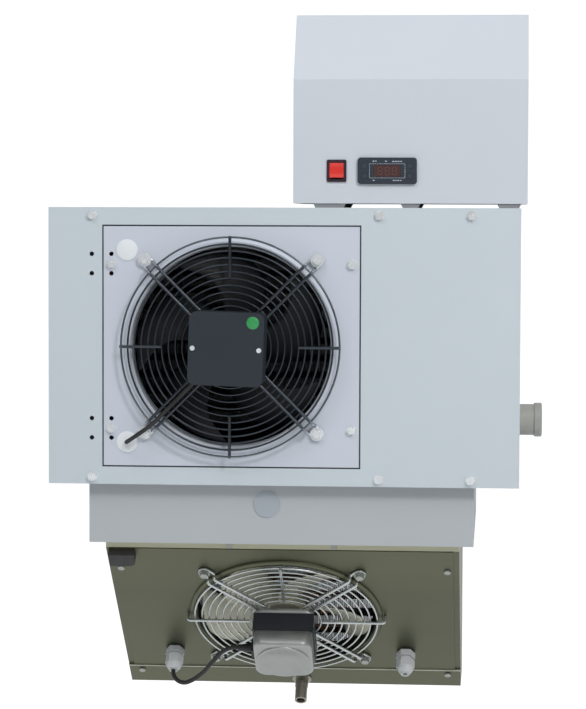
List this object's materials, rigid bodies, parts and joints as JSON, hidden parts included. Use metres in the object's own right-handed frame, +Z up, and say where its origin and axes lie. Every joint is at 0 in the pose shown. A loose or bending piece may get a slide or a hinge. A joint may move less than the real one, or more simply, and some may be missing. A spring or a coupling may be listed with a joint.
{
  "type": "ceiling monoblock refrigeration unit",
  "caption": "Ceiling monoblock cold-room unit: condensing case and control box above, insulated plug, hanging evaporator with guarded fan below.",
  "frame": {"origin": "centre of the four ceiling bolt holes, on the underside of the base pan, which is the top face of the ceiling panel", "axes": "+Z up, -Y out of the front with the condenser fan, +X to the right seen from the front"},
  "size_m": [0.651, 0.5358, 0.9563],
  "materials": {
    "paint_front": "satin powder coat",
    "paint_panel": "satin powder coat",
    "paint_plug": "satin",
    "stainless": "brushed, dull",
    "galvanised": "zinc coated",
    "zinc_bolt": "bright zinc",
    "guard_wire": "zinc plated wire",
    "black_plastic": "matt",
    "dark_cover": "satin",
    "white_plastic": "gloss",
    "red_plastic": "gloss",
    "window": "gloss",
    "nylon": "moulded",
    "rubber": "matt",
    "foam": "rigid foam",
    "fins": "bare fins",
    "copper": "drawn copper tube",
    "motor_alloy": "die cast",
    "motor_stack": "black laminations",
    "compressor": "black gloss",
    "blade_alloy": "pressed sheet",
    "stub": "moulded",
    "pad": "matt"
  },
  "bodies": {
    "case": {"base_pan": "galvanised", "front_panel": "paint_front", "fan_panel": "paint_panel", "fan_panel_bolts": "zinc_bolt", "hole_caps": "white_plastic", "panel_bolts": "zinc_bolt", "top_cover": "paint_front", "left_side_panel": "paint_front", "right_side_panel": "paint_front", "rear_panel": "paint_front", "divider_panel": "galvanised", "condenser_coil": "fins", "condenser_bends": "copper", "compressor_shell": "compressor", "compressor_grommets": "rubber", "terminal_cover": "black_plastic", "filter_drier": "copper", "discharge_pipe": "copper", "liquid_pipe": "copper", "suction_pipe": "copper", "condenser_guard": "guard_wire", "guard_bolts": "zinc_bolt", "condenser_motor": "dark_cover", "motor_cover": "dark_cover", "cover_screws": "zinc_bolt", "side_spigot": "stub", "control_hood": "paint_front", "control_base": "galvanised", "control_feet": "pad", "switch_frame": "black_plastic", "controller_bezel": "black_plastic", "controller_case": "black_plastic", "display_window": "window", "ceiling_plug": "paint_plug", "plug_core": "foam", "plug_cap": "paint_plug", "evaporator_housing": "stainless", "fan_plate": "stainless", "drain_pan": "stainless", "evaporator_coil": "fins", "evaporator_bends": "copper", "drain_spigot": "stainless", "cable_glands": "nylon", "gland_gaskets": "rubber", "evaporator_guard": "guard_wire", "plate_screws": "zinc_bolt", "motor_end_caps": "motor_alloy", "motor_stack": "motor_stack", "strain_relief": "rubber", "motor_cable": "rubber", "seal_block": "rubber"},
    "condenser_fan": {"condenser_impeller": "black_plastic", "condenser_shaft": "zinc_bolt"},
    "evaporator_fan": {"evaporator_blades": "blade_alloy", "evaporator_shaft": "zinc_bolt"},
    "rocker": {"switch_rocker": "red_plastic"},
    "up_key": {"key_up": "black_plastic"},
    "down_key": {"key_down": "black_plastic"},
    "set_key": {"key_set": "black_plastic"},
    "light_key": {"key_light": "black_plastic"}
  },
  "joints": [
    {"name": "condenser_fan_spin", "type": "hinge", "parent": "case", "child": "condenser_fan", "pos_m": [-0.068, -0.23, 0.1825], "axis": [0, -1, 0], "continuous": true},
    {"name": "evaporator_fan_spin", "type": "hinge", "parent": "case", "child": "evaporator_fan", "pos_m": [-0.0065, -0.07407, -0.19338], "axis": [0, -0.6691, -0.7431], "continuous": true},
    {"name": "rocker_tilt", "type": "hinge", "parent": "case", "child": "rocker", "pos_m": [0.0698, -0.228, 0.413], "axis": [1, 0, 0], "range_deg": [0, 16]},
    {"name": "up_key_press", "type": "slide", "parent": "case", "child": "up_key", "axis": [0, 1, 0], "range_m": [0, 0.0006], "stiffness_N_per_m": 400},
    {"name": "down_key_press", "type": "slide", "parent": "case", "child": "down_key", "axis": [0, 1, 0], "range_m": [0, 0.0006], "stiffness_N_per_m": 400},
    {"name": "set_key_press", "type": "slide", "parent": "case", "child": "set_key", "axis": [0, 1, 0], "range_m": [0, 0.0006], "stiffness_N_per_m": 400},
    {"name": "light_key_press", "type": "slide", "parent": "case", "child": "light_key", "axis": [0, 1, 0], "range_m": [0, 0.0006], "stiffness_N_per_m": 400}
  ]
}
